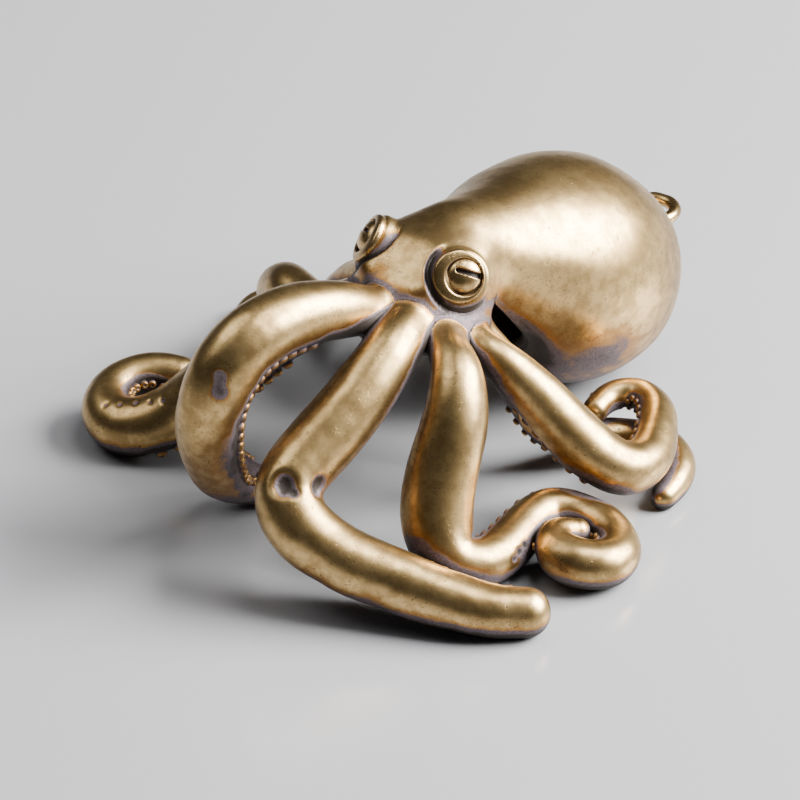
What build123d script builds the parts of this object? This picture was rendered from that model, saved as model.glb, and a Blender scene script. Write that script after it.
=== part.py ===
# Octopus figurine: a small brass casting of separate pieces, brazed together into one rigid ornament.
# It faces -Y, its mantle hangs back towards +Y, and it stands on the table at z = 0.
from build123d import *
import math
import numpy as np
import os

os.makedirs("parts", exist_ok=True)

# Fits
braze_gap = 0.04  # left between two castings for the braze

# Crown, the hub under the head that carries the arms
crown_radius = 5.2
crown_thickness = 5.4
crown_round = 2.5
crown_height = 15.0  # table to the hub's middle
crown_setback = 0.8  # body axis to the hub's middle, towards the mantle

# Arms
arm_reach = 24.0  # body axis to the furthest bend of an arm
arm_over = 2.0  # hub's middle to the underside of the highest arm
arm_radius = 3.0  # thickest arm
tenon_radius = 0.7  # peg at an arm's root
tenon_depth = 1.4  # peg inside its socket
foot_flat = 0.15  # filed off whatever stands on the table

# Head
head_radius = 4.8
head_thickness = 7.4
head_round = 3.6
head_lift = 3.3  # hub's middle to the head's
head_setback = 1.9

# Eyes, each on a mound of the head
eye_radius = 1.35
eye_lift = 1.6  # head's middle to the eyes
eye_spread = 4.7  # body axis to an eye's middle
eye_setback = 0.7
eye_stem_radius = 0.6
eye_stem_depth = 2.0  # from under the slit into the head
eye_groove_radius = 0.95
eye_groove_width = 0.24
pupil_length = 1.3
pupil_width = 0.34
pupil_depth = 0.4
mound_radius = 2.3
mound_sink = 1.6  # eye's middle to the mound's, into the head
rim_radius = 1.75
rim_wire = 0.7  # thickness of the ring round an eye
rim_lift = 0.25  # eye's middle to the ring's, out of the head

# Mantle, the hanging body
mantle_radius = 9.5
mantle_length = 29.0
mantle_neck_lift = 0.6  # head's middle to the mantle's neck
mantle_neck_setback = 4.4
mantle_droop = 30.5  # degrees that the mantle's axis falls towards its end
spigot_radius = 1.6
spigot_depth = 2.4
opening_radius = 4.6  # hollow under the neck
opening_drop = 7.5  # neck to the hollow's middle
opening_setback = 6.4

# Hanging loop
loop_hole_radius = 1.3
loop_strand = 1.2
loop_thickness = 1.1
loop_drop = 9.3  # neck to the loop
loop_stand_off = 1.8  # mantle's back to the middle of the hole
loop_round = 0.4
loop_peg_radius = 0.45
loop_peg_depth = 1.2

# Suckers
sucker_pitch = 1.5
sucker_floor_gap = 0.1  # least room between a sucker and the table
sucker_spread = 38.0  # degrees from an arm's inner line to each row
sucker_girth_share = 0.18  # of the arm's radius
sucker_bend_share = 0.7  # of the arm's radius, over the bend's: no suckers inside a tighter bend
sucker_start_share = 0.26  # of the arm's length
sucker_end_share = 0.97

# Each row is across and along (shares of the reach), lift (share of the rise) and girth (share of the radius)
arm_shares = {
    "right_arm_1": [
        (-0.01, -0.05, 0.90, 0.40),
        (-0.02, -0.19, 0.96, 0.53),
        (-0.05, -0.32, 1.00, 0.67),
        (-0.11, -0.50, 1.02, 0.83),
        (-0.15, -0.71, 0.97, 0.93),
        (-0.19, -0.83, 0.70, 0.90),
        (-0.24, -0.76, 0.39, 0.87),
        (-0.32, -0.62, 0.09, 0.77),
        (-0.28, -0.49, 0.02, 0.60),
        (-0.19, -0.42, 0.00, 0.45),
    ],
    "left_arm_1": [
        (0.08, -0.04, 0.88, 0.40),
        (0.12, -0.17, 0.93, 0.50),
        (0.15, -0.29, 0.83, 0.73),
        (0.14, -0.48, 0.63, 0.87),
        (0.11, -0.66, 0.48, 0.90),
        (0.10, -0.79, 0.38, 0.90),
        (0.19, -0.84, 0.25, 0.88),
        (0.36, -0.78, 0.12, 0.87),
        (0.56, -0.69, 0.05, 0.83),
        (0.77, -0.62, 0.01, 0.73),
        (0.89, -0.51, 0.00, 0.67),
    ],
    "left_arm_2": [
        (0.15, -0.03, 0.82, 0.40),
        (0.26, -0.13, 0.87, 0.45),
        (0.39, -0.22, 0.76, 0.70),
        (0.43, -0.29, 0.54, 0.82),
        (0.43, -0.38, 0.33, 0.80),
        (0.48, -0.47, 0.14, 0.73),
        (0.59, -0.50, 0.01, 0.62),
        (0.67, -0.38, 0.00, 0.63),
        (0.62, -0.20, 0.01, 0.63),
        (0.59, -0.02, 0.04, 0.60),
        (0.70, 0.05, 0.04, 0.57),
        (0.84, 0.04, 0.02, 0.57),
        (0.94, -0.04, 0.01, 0.58),
        (0.95, -0.15, 0.01, 0.60),
        (0.86, -0.21, 0.03, 0.60),
        (0.76, -0.17, 0.08, 0.50),
    ],
    "left_arm_3": [
        (0.17, 0.07, 0.77, 0.40),
        (0.31, -0.01, 0.81, 0.47),
        (0.42, 0.03, 0.66, 0.63),
        (0.54, 0.09, 0.44, 0.75),
        (0.65, 0.13, 0.26, 0.77),
        (0.76, 0.19, 0.16, 0.72),
        (0.77, 0.33, 0.17, 0.64),
        (0.69, 0.47, 0.20, 0.57),
        (0.60, 0.58, 0.22, 0.50),
        (0.50, 0.61, 0.23, 0.44),
        (0.43, 0.54, 0.23, 0.40),
        (0.44, 0.45, 0.22, 0.36),
    ],
    "left_arm_4": [
        (0.14, 0.14, 0.74, 0.40),
        (0.27, 0.17, 0.56, 0.53),
        (0.34, 0.22, 0.26, 0.57),
        (0.38, 0.36, 0.03, 0.57),
        (0.47, 0.52, 0.00, 0.55),
        (0.62, 0.61, 0.00, 0.53),
        (0.74, 0.54, 0.00, 0.49),
        (0.79, 0.44, 0.00, 0.44),
        (0.80, 0.36, 0.00, 0.38),
    ],
    "right_arm_2": [
        (-0.12, -0.03, 0.83, 0.40),
        (-0.23, -0.16, 0.79, 0.70),
        (-0.47, -0.29, 0.45, 0.90),
        (-0.62, -0.36, 0.15, 0.93),
        (-0.72, -0.46, 0.01, 0.89),
        (-0.83, -0.54, 0.00, 0.82),
        (-0.94, -0.51, 0.02, 0.75),
        (-0.99, -0.40, 0.06, 0.70),
        (-0.94, -0.28, 0.11, 0.64),
        (-0.84, -0.23, 0.13, 0.54),
    ],
    "right_arm_3": [
        (-0.16, 0.05, 0.78, 0.40),
        (-0.28, 0.06, 0.73, 0.50),
        (-0.42, 0.10, 0.52, 0.60),
        (-0.55, 0.15, 0.37, 0.68),
        (-0.67, 0.20, 0.36, 0.72),
        (-0.78, 0.25, 0.34, 0.70),
        (-0.86, 0.31, 0.20, 0.60),
        (-0.87, 0.40, 0.06, 0.52),
        (-0.92, 0.47, 0.00, 0.47),
        (-1.00, 0.47, 0.00, 0.45),
        (-1.04, 0.40, 0.00, 0.43),
        (-1.01, 0.31, 0.00, 0.41),
        (-0.95, 0.26, 0.00, 0.39),
    ],
    "right_arm_4": [
        (-0.15, 0.14, 0.76, 0.40),
        (-0.28, 0.27, 0.69, 0.53),
        (-0.41, 0.36, 0.55, 0.65),
        (-0.52, 0.40, 0.38, 0.72),
        (-0.67, 0.45, 0.20, 0.72),
        (-0.77, 0.57, 0.03, 0.67),
        (-0.71, 0.71, 0.01, 0.57),
        (-0.58, 0.74, 0.00, 0.48),
        (-0.50, 0.66, 0.00, 0.40),
    ],
}

# Path sections between two rows of an arm, finer ones for the suckers, and the angles that round its tip
arm_steps = 3
sucker_steps = 12
tip_angles = (30.0, 54.0, 74.0)
# Weights in an arm's curve of a row at its own place and of the rows beside it
near_share = 2 / 3
far_share = 1 / 6
# Mantle outline from inside the head to the end: share of the radius, share of the length
mantle_shares = [
    (0.00, -0.11),
    (0.27, -0.05),
    (0.40, 0.00),
    (0.50, 0.09),
    (0.61, 0.18),
    (0.84, 0.34),
    (0.99, 0.50),
    (1.00, 0.66),
    (0.85, 0.82),
    (0.55, 0.94),
    (0.00, 1.00),
]
# Way that the left eye looks, across, along and up
eye_gaze_shares = (0.66, -0.52, 0.54)

arm_rise = crown_height + arm_over  # table to the underside of the highest arm
head_height = crown_height + head_lift
mantle_neck_height = head_height + mantle_neck_lift
mouth = Vector(0, crown_setback, 0)
parts = {}


def bun(middle, radius, thickness, rounding, grown=0.0):
    # upright disc with a rounded rim
    disc = Cylinder(radius + grown, thickness + grown * 2)
    return Pos(*middle) * fillet(disc.edges(), rounding + grown)


def largest(shape):
    return shape.solids().sort_by(SortBy.VOLUME)[-1]


def peg(place, way, radius, length):
    # round peg that starts at a place and runs a length along a way
    return Plane(place, z_dir=way) * Cylinder(radius, length, align=(Align.CENTER, Align.CENTER, Align.MIN))


def between(a, b, c, d, t):
    # smooth curve that runs near b and c, steered by the neighbours a and d
    early = far_share * (1 - t) ** 3
    late = far_share * t**3
    mid = near_share - t**2 + t**3 / 2
    return a * early + b * mid + c * (1 - early - mid - late) + d * late


def arm_path(shares, steps):
    # places and radii along an arm, with a smooth curve led by the rows of its table
    rows = []
    for across_share, along_share, lift_share, girth_share in shares:
        radius = girth_share * arm_radius
        lift = lift_share * arm_rise + radius - foot_flat
        rows.append((Vector(across_share * arm_reach, along_share * arm_reach, lift), radius))
    first = tuple(a * 2 - b for a, b in zip(rows[0], rows[1]))
    last = tuple(a * 2 - b for a, b in zip(rows[-1], rows[-2]))
    led = [first] + rows + [last]
    path = []
    for i in range(len(rows) - 1):
        for step in range(steps):
            four = led[i:i + 4]
            path.append(tuple(between(*[row[k] for row in four], step / steps) for k in (0, 1)))
    path.append(rows[-1])
    return path


def headings(path):
    # unit way forward at each place of a path
    ways = []
    for i in range(len(path)):
        before = path[max(i - 1, 0)][0]
        after = path[min(i + 1, len(path) - 1)][0]
        ways.append((after - before).normalized())
    return ways


def arm_blank(path):
    # round sections along the path, carried forward without twist, with a rounded tip
    ways = headings(path)
    end, end_radius = path[-1]
    stations = [(place, radius, way) for (place, radius), way in zip(path, ways)]
    for angle in tip_angles:
        turn = math.radians(angle)
        stations.append((end + ways[-1] * (end_radius * math.sin(turn)), end_radius * math.cos(turn), ways[-1]))
    side = ways[0].cross(Vector(0, 0, 1))
    sections = []
    for place, radius, way in stations:
        side = (side - way * side.dot(way)).normalized()
        sections.append(Plane(place, x_dir=side, z_dir=way) * Circle(radius))
    return loft(sections)


def is_outside(place, middle, radius, thickness, rounding):
    # true where a place lies outside a bun grown by the braze gap
    off = place - middle
    over_rim = math.hypot(off.X, off.Y) - radius + rounding
    over_face = abs(off.Z) - thickness / 2 + rounding
    if max(over_rim, over_face) < 0:
        return False
    return math.hypot(max(over_rim, 0), max(over_face, 0)) > rounding + braze_gap


# Eyes' places, as planes whose way up is where the eye looks
eye_planes = {}
for side_name, side in (("left", 1), ("right", -1)):
    across_share, along_share, up_share = eye_gaze_shares
    gaze = Vector(across_share * side, along_share, up_share)
    eye_middle = (eye_spread * side, eye_setback, head_height + eye_lift)
    eye_planes[side_name] = Plane(eye_middle, x_dir=(0, 0, 1), z_dir=gaze)

# Blanks that the other pieces are fitted to
crown_sizes = (Vector(0, crown_setback, crown_height), crown_radius, crown_thickness, crown_round)
head_sizes = (Vector(0, head_setback, head_height), head_radius, head_thickness, head_round)
crown = bun(*crown_sizes)
crown_seat = bun(*crown_sizes, braze_gap)
head = bun(*head_sizes)
head_seat = bun(*head_sizes, braze_gap)
for eye_plane in eye_planes.values():
    head += eye_plane * Pos(0, 0, -mound_sink) * Sphere(mound_radius)
    head_seat += eye_plane * Pos(0, 0, -mound_sink) * Sphere(mound_radius + braze_gap)
head -= crown_seat

table = Box(arm_reach * 4, arm_reach * 4, arm_rise, align=(Align.CENTER, Align.CENTER, Align.MAX))

# Arms, each with a peg that sits in a socket of the crown or head
paths = {name: arm_path(shares, arm_steps) for name, shares in arm_shares.items()}
for name, path in paths.items():
    leave = 0
    while not (is_outside(path[leave][0], *crown_sizes) and is_outside(path[leave][0], *head_sizes)):
        leave += 1
    root, root_radius = path[leave]
    inner = (path[leave - 1][0] - root).normalized()
    step = (path[leave - 1][0] - root).length
    arm = largest(arm_blank(path) - crown_seat - head_seat - table)
    arm += peg(root, inner, tenon_radius, step + tenon_depth)
    socket = peg(root, inner, tenon_radius + braze_gap, step + tenon_depth + braze_gap)
    crown -= socket
    head -= socket
    parts[name] = largest(arm)

# Mantle: an outline turned about a drooping axis, hollowed under the neck and filed flat where it rests
droop = math.radians(mantle_droop)
mantle_way = Vector(0, math.cos(droop), -math.sin(droop))
mantle_start = Vector(0, mantle_neck_setback, mantle_neck_height)
mantle_plane = Plane(mantle_start, x_dir=(1, 0, 0), z_dir=mantle_way)
outline = [(radius_share * mantle_radius, share * mantle_length) for radius_share, share in mantle_shares]
curve = Spline(*outline, tangents=((1, 0), (-1, 0)), tangent_scalars=(1, 1))
profile = make_face(Curve() + [Line(outline[-1], outline[0]), curve])
mantle_blank = mantle_plane * revolve(Plane.XZ * profile, Axis.Z)
hollow = Pos(0, opening_setback, mantle_neck_height - opening_drop) * Sphere(opening_radius)
mantle = largest(mantle_blank - table - hollow - crown_seat - head_seat)
spigot_start = mantle_start + mantle_way * spigot_depth
mantle += peg(spigot_start, -mantle_way, spigot_radius, spigot_depth * 2)
spigot_socket = peg(spigot_start, -mantle_way, spigot_radius + braze_gap, spigot_depth * 2 + braze_gap)
head -= spigot_socket
crown -= spigot_socket

# Hanging loop: a drilled ring that sits against the mantle's back on a peg
loop_back = mantle_blank.bounding_box().max.Y
loop_middle = Vector(0, loop_back + loop_stand_off, mantle_neck_height - loop_drop)
loop_radius = loop_hole_radius + loop_strand
ring = Pos(*loop_middle) * Cylinder(loop_radius, loop_thickness)
ring = fillet(ring.edges(), loop_round)
loop_peg_start = loop_middle - Vector(0, loop_hole_radius + loop_strand / 2, 0)
loop_peg_length = loop_stand_off - loop_hole_radius - loop_strand / 2 + loop_peg_depth
loop = ring - mantle_blank + peg(loop_peg_start, Vector(0, -1, 0), loop_peg_radius, loop_peg_length)
loop -= Pos(*loop_middle) * Cylinder(loop_hole_radius, loop_thickness * 2)
mantle -= peg(loop_peg_start, Vector(0, -1, 0), loop_peg_radius + braze_gap, loop_peg_length + braze_gap)

# Eyes: a domed eyeball with a groove and a slit, on a stem, inside a ring
for side_name, eye_plane in eye_planes.items():
    ball = Sphere(eye_radius, arc_size1=0, align=None)
    groove = Torus(eye_groove_radius, eye_groove_width / 2)
    groove_height = math.sqrt(eye_radius**2 - eye_groove_radius**2)
    slit = Pos(0, 0, eye_radius) * Box(pupil_width, pupil_length, pupil_depth * 2)
    eye = eye_plane * (ball - Pos(0, 0, groove_height) * groove - slit) - head_seat
    stem_top = Vector(0, 0, eye_radius - pupil_depth - braze_gap)
    eye += eye_plane * peg(stem_top, Vector(0, 0, -1), eye_stem_radius, eye_stem_depth)
    head -= eye_plane * peg(stem_top, Vector(0, 0, -1), eye_stem_radius + braze_gap, eye_stem_depth + braze_gap)
    parts[side_name + "_eye"] = eye
    parts[side_name + "_eye_rim"] = eye_plane * Pos(0, 0, rim_lift) * Torus(rim_radius, rim_wire / 2) - head_seat

parts["head"] = head
parts["arm_crown"] = crown
parts["mantle"] = mantle
parts["hanging_loop"] = loop


def room(path, spot):
    # least distance from a spot to the skin of a round body along a path
    places = np.array([tuple(place) for place, _ in path])
    radii = np.array([radius for _, radius in path])
    runs = places[1:] - places[:-1]
    t = ((np.array(tuple(spot)) - places[:-1]) * runs).sum(1) / (runs**2).sum(1)
    t = np.clip(t, 0, 1)
    nearest = places[:-1] + runs * t[:, None]
    skin = radii[:-1] + (radii[1:] - radii[:-1]) * t
    return float((np.linalg.norm(np.array(tuple(spot)) - nearest, axis=1) - skin).min())


def is_clear(name, seat, size, studs):
    # true where a stud touches no other stud, no other body and no other bend of its own arm
    if any((other - seat).length < other_size + size + braze_gap for other, other_size in studs):
        return False
    if seat.Z - size < sucker_floor_gap or room(fine_paths[name], seat) < 0:
        return False
    others = [path for other_name, path in fine_paths.items() if other_name != name] + [mantle_path]
    return all(room(path, seat) > size * 2 + braze_gap for path in others)


def sucker_group(name):
    # two rows of half-round studs on the side of the arm that faces the mouth
    path = fine_paths[name]
    ways = headings(path)
    lengths = [0.0]
    for (a, _), (b, _) in zip(path, path[1:]):
        lengths.append(lengths[-1] + (b - a).length)
    studs = []
    solids = []
    reach = sucker_start_share * lengths[-1]
    while reach < sucker_end_share * lengths[-1]:
        i = min(range(len(path)), key=lambda k: abs(lengths[k] - reach))
        place, radius = path[i]
        way = ways[i]
        bend = (ways[i + 1] - ways[i - 1]) / (lengths[i + 1] - lengths[i - 1])
        inward = mouth - place
        inward = (inward - way * inward.dot(way)).normalized()
        size = radius * sucker_girth_share
        for angle in (-sucker_spread, sucker_spread):
            out = inward.rotate(Axis((0, 0, 0), tuple(way)), angle)
            hollow_bend = max(bend.dot(out), 0)
            if hollow_bend * radius > sucker_bend_share:
                continue
            # inside a bend the stud's flat stands off by the dip of the curve under it
            dip = size**2 * hollow_bend / (1 - hollow_bend * radius) / 2
            seat = place + out * (radius + braze_gap + dip)
            if is_clear(name, seat, size, studs):
                solids.append(Plane(seat, z_dir=out) * Sphere(size, arc_size1=0, align=None))
                studs.append((seat, size))
        reach += sucker_pitch
    return solids


fine_paths = {name: arm_path(shares, sucker_steps) for name, shares in arm_shares.items()}
mantle_path = []
for step in range(sucker_steps + 1):
    spot = curve @ (step / sucker_steps)
    mantle_path.append((mantle_start + mantle_way * spot.Y, spot.X))
for name in arm_shares:
    parts[name + "_suckers"] = Compound(children=sucker_group(name))

# The origin goes to the middle of the footprint, on the table
box = Compound(children=[Compound(part.wrapped) for part in parts.values()]).bounding_box()
shift = Pos(-(box.min.X + box.max.X) / 2, -(box.min.Y + box.max.Y) / 2, 0)
for name, part in parts.items():
    export_step(shift * part, f"parts/{name}.step")
    print(name, len(part.solids()), round(part.volume, 2))
print("size", box.size, "shift", shift.position)
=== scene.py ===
import math

import bpy
import numpy as np
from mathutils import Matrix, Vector


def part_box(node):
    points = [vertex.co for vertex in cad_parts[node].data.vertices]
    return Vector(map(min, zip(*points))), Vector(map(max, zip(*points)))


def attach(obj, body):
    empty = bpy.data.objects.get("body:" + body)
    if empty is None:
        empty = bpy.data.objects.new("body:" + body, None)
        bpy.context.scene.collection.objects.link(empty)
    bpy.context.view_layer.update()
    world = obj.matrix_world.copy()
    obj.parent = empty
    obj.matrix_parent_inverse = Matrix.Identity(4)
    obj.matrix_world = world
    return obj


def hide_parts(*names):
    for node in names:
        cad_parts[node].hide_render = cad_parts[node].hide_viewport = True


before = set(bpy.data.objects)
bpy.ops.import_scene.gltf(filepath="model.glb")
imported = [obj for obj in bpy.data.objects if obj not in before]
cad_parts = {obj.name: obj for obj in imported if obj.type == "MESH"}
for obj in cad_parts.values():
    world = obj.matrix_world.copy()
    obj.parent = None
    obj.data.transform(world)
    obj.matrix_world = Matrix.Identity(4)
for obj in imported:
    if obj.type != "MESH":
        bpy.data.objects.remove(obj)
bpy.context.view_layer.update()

# The drawing is in millimetres from the body axis on the table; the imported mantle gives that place
millimetre = 0.001
mantleBack = 30.59
low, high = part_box("mantle")
zero = np.array([(low.x + high.x) / 2, high.y - mantleBack * millimetre, 0.0])
print("stage: frame loaded, zero at", zero.round(5))


def unit(v):
    return v / np.maximum(np.linalg.norm(v, axis=-1, keepdims=True), 1e-9)


def ease(x, start, end):
    # smooth step from 0 at start to 1 at end
    t = np.clip((x - start) / (end - start), 0, 1)
    return t * t * (3 - 2 * t)


def wobble(spots, wave, seed, count=14):
    # sum of plane waves of about one wavelength in fixed random ways, near -1 to 1
    rng = np.random.default_rng(seed)
    ways = unit(rng.normal(size=(count, 3))) * (2 * np.pi / wave) * rng.uniform(0.7, 1.4, (count, 1))
    phases = rng.uniform(0, 2 * np.pi, count)
    return np.sin(spots @ ways.T + phases).sum(-1) / math.sqrt(count)


# Arms: rows are across and along (shares of reach), lift (share of rise) and girth (share of girth)
arms = {"reach": 24.0, "rise": 17.0, "girth": 3.0, "sunk": 0.15, "along": 300, "around": 72, "tip": 14,
        "flat": 0.10, "flatFrom": 0.45, "lump": 0.04, "lumpWave": 5.0, "lumpGirths": (0.4, 1.4), "ripple": 0.008,
        "rippleWave": 1.9, "grey": 0.46, "greyFrom": 0.42, "greyAtRoot": 0.80, "greyReach": (5.0, 12.0),
        "greySway": 0.10, "greyWave": 2.6, "greyEdge": 0.16}
armRows = {
    "right_arm_1": [
        (-0.01, -0.05, 0.88, 0.40), (-0.02, -0.19, 0.93, 0.56), (-0.05, -0.32, 0.97, 0.80),
        (-0.11, -0.50, 1.00, 0.90), (-0.15, -0.71, 0.97, 0.93), (-0.19, -0.83, 0.70, 0.90),
        (-0.24, -0.76, 0.39, 0.87), (-0.32, -0.62, 0.09, 0.77), (-0.28, -0.49, 0.02, 0.60),
        (-0.19, -0.42, 0.00, 0.45)],
    "left_arm_1": [
        (0.08, -0.04, 0.88, 0.40), (0.12, -0.17, 0.93, 0.50), (0.15, -0.29, 0.82, 0.78),
        (0.14, -0.48, 0.62, 0.92), (0.11, -0.66, 0.48, 0.90), (0.10, -0.79, 0.38, 0.90),
        (0.19, -0.84, 0.25, 0.88), (0.36, -0.78, 0.12, 0.87), (0.56, -0.69, 0.05, 0.83),
        (0.77, -0.62, 0.01, 0.73), (0.89, -0.51, 0.00, 0.67)],
    "left_arm_2": [
        (0.15, -0.03, 0.82, 0.40), (0.26, -0.13, 0.87, 0.47), (0.38, -0.21, 0.76, 0.74),
        (0.42, -0.29, 0.53, 0.92), (0.42, -0.38, 0.30, 0.98), (0.47, -0.46, 0.08, 0.95),
        (0.57, -0.47, 0.00, 0.78), (0.64, -0.36, 0.01, 0.68), (0.61, -0.18, 0.03, 0.66),
        (0.59, -0.02, 0.05, 0.62), (0.70, 0.04, 0.05, 0.58), (0.84, 0.03, 0.02, 0.60),
        (0.93, -0.05, 0.01, 0.64), (0.94, -0.15, 0.01, 0.68), (0.85, -0.21, 0.02, 0.68),
        (0.76, -0.20, 0.05, 0.62), (0.73, -0.13, 0.09, 0.50), (0.77, -0.08, 0.11, 0.36)],
    "left_arm_3": [
        (0.17, 0.07, 0.77, 0.40), (0.31, -0.01, 0.81, 0.47), (0.42, 0.03, 0.66, 0.63),
        (0.54, 0.09, 0.44, 0.75), (0.65, 0.13, 0.26, 0.80), (0.76, 0.19, 0.16, 0.75),
        (0.77, 0.33, 0.17, 0.65), (0.69, 0.47, 0.20, 0.57), (0.60, 0.58, 0.22, 0.50),
        (0.50, 0.61, 0.23, 0.44), (0.43, 0.54, 0.23, 0.40), (0.44, 0.45, 0.22, 0.36)],
    "left_arm_4": [
        (0.14, 0.14, 0.74, 0.40), (0.27, 0.17, 0.56, 0.53), (0.34, 0.22, 0.26, 0.57),
        (0.38, 0.36, 0.03, 0.57), (0.47, 0.52, 0.00, 0.55), (0.62, 0.61, 0.00, 0.53),
        (0.74, 0.54, 0.00, 0.49), (0.79, 0.44, 0.00, 0.44), (0.80, 0.36, 0.00, 0.38)],
    "right_arm_2": [
        (-0.12, -0.03, 0.83, 0.40), (-0.23, -0.16, 0.79, 0.70), (-0.47, -0.29, 0.45, 0.90),
        (-0.62, -0.36, 0.15, 0.93), (-0.72, -0.46, 0.01, 0.89), (-0.83, -0.54, 0.00, 0.82),
        (-0.94, -0.51, 0.02, 0.75), (-0.99, -0.40, 0.06, 0.70), (-0.94, -0.28, 0.11, 0.64),
        (-0.84, -0.23, 0.13, 0.54)],
    "right_arm_3": [
        (-0.16, 0.05, 0.78, 0.40), (-0.28, 0.06, 0.73, 0.50), (-0.42, 0.10, 0.52, 0.60),
        (-0.55, 0.15, 0.37, 0.68), (-0.67, 0.20, 0.36, 0.72), (-0.78, 0.25, 0.34, 0.70),
        (-0.86, 0.31, 0.20, 0.60), (-0.87, 0.40, 0.06, 0.52), (-0.92, 0.47, 0.00, 0.47),
        (-1.00, 0.47, 0.00, 0.45), (-1.04, 0.40, 0.00, 0.43), (-1.01, 0.31, 0.00, 0.41),
        (-0.95, 0.26, 0.00, 0.39)],
    "right_arm_4": [
        (-0.15, 0.14, 0.76, 0.40), (-0.28, 0.27, 0.69, 0.53), (-0.41, 0.36, 0.55, 0.65),
        (-0.52, 0.40, 0.38, 0.72), (-0.67, 0.45, 0.20, 0.72), (-0.77, 0.57, 0.03, 0.67),
        (-0.71, 0.71, 0.01, 0.57), (-0.58, 0.74, 0.00, 0.48), (-0.50, 0.66, 0.00, 0.40)],
}


def splinePath(rows, count):
    # uniform cubic B-spline led by the rows and pinned to both ends, then spaced evenly by length
    led = np.vstack([2 * rows[0] - rows[1], rows, 2 * rows[-1] - rows[-2]])
    t = np.linspace(0, 1, 24, endpoint=False)[:, None, None]
    a, b, c, d = led[:-3], led[1:-2], led[2:-1], led[3:]
    fine = (1 - t)**3 * a + (3 * t**3 - 6 * t**2 + 4) * b + (1 + 3 * t + 3 * t**2 - 3 * t**3) * c + t**3 * d
    fine = np.vstack([fine.transpose(1, 0, 2).reshape(-1, rows.shape[1]) / 6, rows[-1:]])
    far = np.concatenate([[0], np.cumsum(np.linalg.norm(np.diff(fine[:, :3], axis=0), axis=1))])
    even = np.linspace(0, far[-1], count)
    return np.stack([np.interp(even, far, column) for column in fine.T], 1)


def armPath(name, count):
    # the rows in millimetres: place from the shares, lifted so that the girth stands on the table
    share = np.array(armRows[name])
    girth = share[:, 3] * arms["girth"]
    lift = share[:, 2] * arms["rise"] + girth - arms["sunk"]
    rows = np.stack([share[:, 0] * arms["reach"], share[:, 1] * arms["reach"], lift, girth], 1)
    path = splinePath(rows, count)
    return path[:, :3], path[:, 3]


def carriedFrames(path):
    # tangents by differences; the side is carried along the path without twist
    ways = unit(np.gradient(path, axis=0))
    sides = np.empty_like(ways)
    side = np.cross(ways[0], (0.0, 0.0, 1.0))
    for i, way in enumerate(ways):
        side = unit(side - way * (side @ way))
        sides[i] = side
    return ways, sides, np.cross(ways, sides)


# Distance to each form, and the way straight out of it, for whole arrays of spots
def tubeForm(path, girth):
    # nearest place on the path's straight runs, less the girth there
    a, run = path[:-1], np.diff(path, axis=0)
    size = (run**2).sum(1)
    start, change = girth[:-1], np.diff(girth)

    def measure(spots):
        gap = np.empty(len(spots))
        away = np.empty((len(spots), 3))
        for k in range(0, len(spots), 6000):
            part = spots[k:k + 6000]
            t = np.clip(((part[:, None] - a) * run).sum(2) / size, 0, 1)
            off = part[:, None] - a - run * t[..., None]
            far = np.linalg.norm(off, axis=2)
            best = (far - start - change * t).argmin(1)
            here = np.arange(len(part))
            gap[k:k + 6000] = far[here, best] - start[best] - change[best] * t[here, best]
            away[k:k + 6000] = unit(off[here, best])
        return gap, away
    return measure


def ballForm(middle, half, power=2.0):
    # ellipsoid, boxier with a higher power: first-order distance from the scaled radius
    middle, half = np.array(middle), np.array(half)

    def measure(spots):
        off = spots - middle
        share = np.maximum(np.abs(off / half), 1e-6)
        near = (share**power).sum(1)**(1 / power)
        slope = np.sign(off) * share**(power - 1) / half * (near**(1 - power))[:, None]
        return (near - 1) / np.linalg.norm(slope, axis=1), unit(slope)
    return measure


def drumForm(middle, way, radius, height, rounding):
    # round drum with a rounded edge: its section is a box of radius by half the height, grown by the rounding
    def measure(spots):
        off = spots - middle
        high = off @ way
        flat = off - high[:, None] * way
        wide = np.linalg.norm(flat, axis=1)
        past = np.stack([wide - radius + rounding, np.abs(high) - height / 2 + rounding], 1)
        over = np.maximum(past, 0)
        reach = np.linalg.norm(over, axis=1)
        lean = np.where(reach[:, None] > 1e-6, over, past == past.max(1, keepdims=True))
        lean = unit(lean.astype(float))
        ways = lean[:, :1] * unit(flat) + (lean[:, 1] * np.sign(high))[:, None] * way
        return reach + np.minimum(past.max(1), 0) - rounding, ways
    return measure


def blended(parts, softness):
    # log of the sum of exp(softness * distance), over softness: negative joins the forms, positive overlaps them
    gaps, ways = (np.array(v) for v in zip(*parts))
    power = np.exp(np.clip(softness * gaps, -40, 40))
    total = power.sum(0)
    return np.log(total) / softness, (power[..., None] * ways).sum(0) / total[:, None]


# Mantle: an outline turned about a drooping axis, radius and place along as shares
mantle = {
    "radius": 9.5, "length": 29.0, "start": (0.0, 4.4, 18.9), "droop": 30.5, "around": 176, "along": 150,
    "outline": [(-0.10, 0.08), (-0.05, 0.27), (0.00, 0.40), (0.09, 0.50), (0.18, 0.61), (0.34, 0.84), (0.50, 0.99),
                (0.66, 1.00), (0.82, 0.85), (0.94, 0.55), (1.00, 0.0)],
    "lipAngles": (0.0, 108.0, 122.0, 133.0, 143.0, 163.0, 180.0),
    "lipPlaces": (-2.9, -2.9, 1.0, 6.4, 9.6, 11.4, 11.8), "lipSmooth": 7,
    "lipRoll": 0.5, "rollTurn": (-80, 90), "rollRows": 14, "lipFlare": 0.22, "flareReach": 1.1, "flareAngles": (85, 110),
    "lipTuck": 0.16, "tuckReach": 3.0, "tuckAngles": (100, 130), "hollowDepth": 13.5, "dishRows": 26, "dishPower": 2.4,
    "spacing": 1.15, "lump": 0.05, "lumpWave": 7.0, "seam": 0.3,
}
droop = math.radians(mantle["droop"])
mantleWay = np.array([0.0, math.cos(droop), -math.sin(droop)])
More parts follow.
